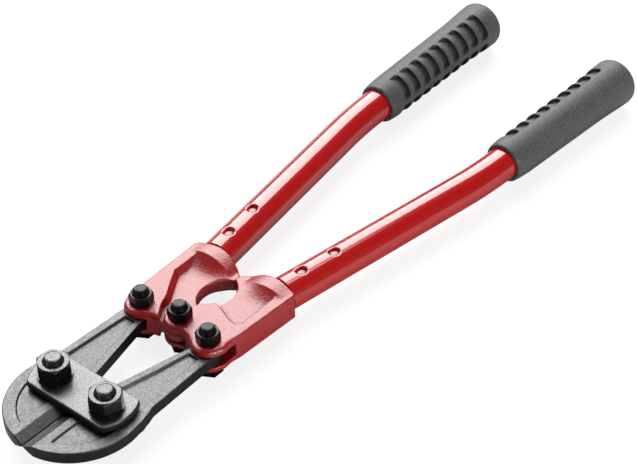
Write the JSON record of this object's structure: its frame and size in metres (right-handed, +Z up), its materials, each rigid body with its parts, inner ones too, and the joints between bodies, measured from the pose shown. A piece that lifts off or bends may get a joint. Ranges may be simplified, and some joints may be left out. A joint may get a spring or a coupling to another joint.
{
  "type": "bolt cutter",
  "caption": "Compound bolt cutter: disc-fronted jaws between strap plates, red forged heads as a toggle, red tube handles and ribbed rubber grips, closed and lying flat.",
  "frame": {"origin": "centre of the footprint's bounding box, at the height of the table the tool lies on", "axes": "+X towards the jaws, +Y towards the left handle, +Z up, out of the flat side that shows the nuts"},
  "size_m": [0.4499, 0.133, 0.0358],
  "materials": {
    "jaw_steel": "satin forged steel, fine grain",
    "strap_steel": "satin grey steel plate",
    "jaw_hardware": "satin grey plated steel",
    "black_hardware": "black oxide",
    "head_paint": "semi-gloss red paint over a forging",
    "tube_lacquer": "high-gloss red lacquer",
    "grip_rubber": "dark grey rubber, soft sheen"
  },
  "bodies": {
    "strap": {"strap_top": "strap_steel", "strap_bottom": "strap_steel", "jaw_bolt_left": "jaw_hardware", "jaw_bolt_right": "jaw_hardware", "jaw_nut_left": "jaw_hardware", "jaw_nut_right": "jaw_hardware", "jaw_washer_left": "jaw_hardware", "jaw_washer_right": "jaw_hardware"},
    "left_jaw": {"jaw_left": "jaw_steel"},
    "right_jaw": {"jaw_right": "jaw_steel"},
    "left_handle": {"head_left": "head_paint", "tube_left": "tube_lacquer", "grip_left": "grip_rubber", "link_bolt_left": "black_hardware", "link_nut_left": "black_hardware", "centre_bolt": "black_hardware", "centre_nut": "black_hardware"},
    "right_handle": {"head_right": "head_paint", "tube_right": "tube_lacquer", "grip_right": "grip_rubber", "link_bolt_right": "black_hardware", "link_nut_right": "black_hardware"}
  },
  "joints": [
    {"name": "left_jaw_pivot", "type": "hinge", "parent": "strap", "child": "left_jaw", "pos_m": [0.183, 0.019, 0.015], "axis": [0, 0, 1], "range_deg": [0, 8.05]},
    {"name": "right_jaw_pivot", "type": "hinge", "parent": "strap", "child": "right_jaw", "pos_m": [0.183, -0.019, 0.015], "axis": [0, 0, -1], "range_deg": [0, 8.05]},
    {"name": "handle_spread", "type": "hinge", "parent": "left_jaw", "child": "left_handle", "pos_m": [0.1137, 0.0246, 0.015], "axis": [0, 0, -1], "range_deg": [0, 53]},
    {"name": "right_link", "type": "hinge", "parent": "right_jaw", "child": "right_handle", "pos_m": [0.1137, -0.0246, 0.015], "axis": [0, 0, 1], "range_deg": [0, 53.05]}
  ],
  "couplings": [
    {"joint": "left_jaw_pivot", "follows": "handle_spread", "ratio": 0.15094},
    {"joint": "right_jaw_pivot", "follows": "handle_spread", "ratio": 0.15094},
    {"joint": "right_link", "follows": "handle_spread", "ratio": 1}
  ]
}
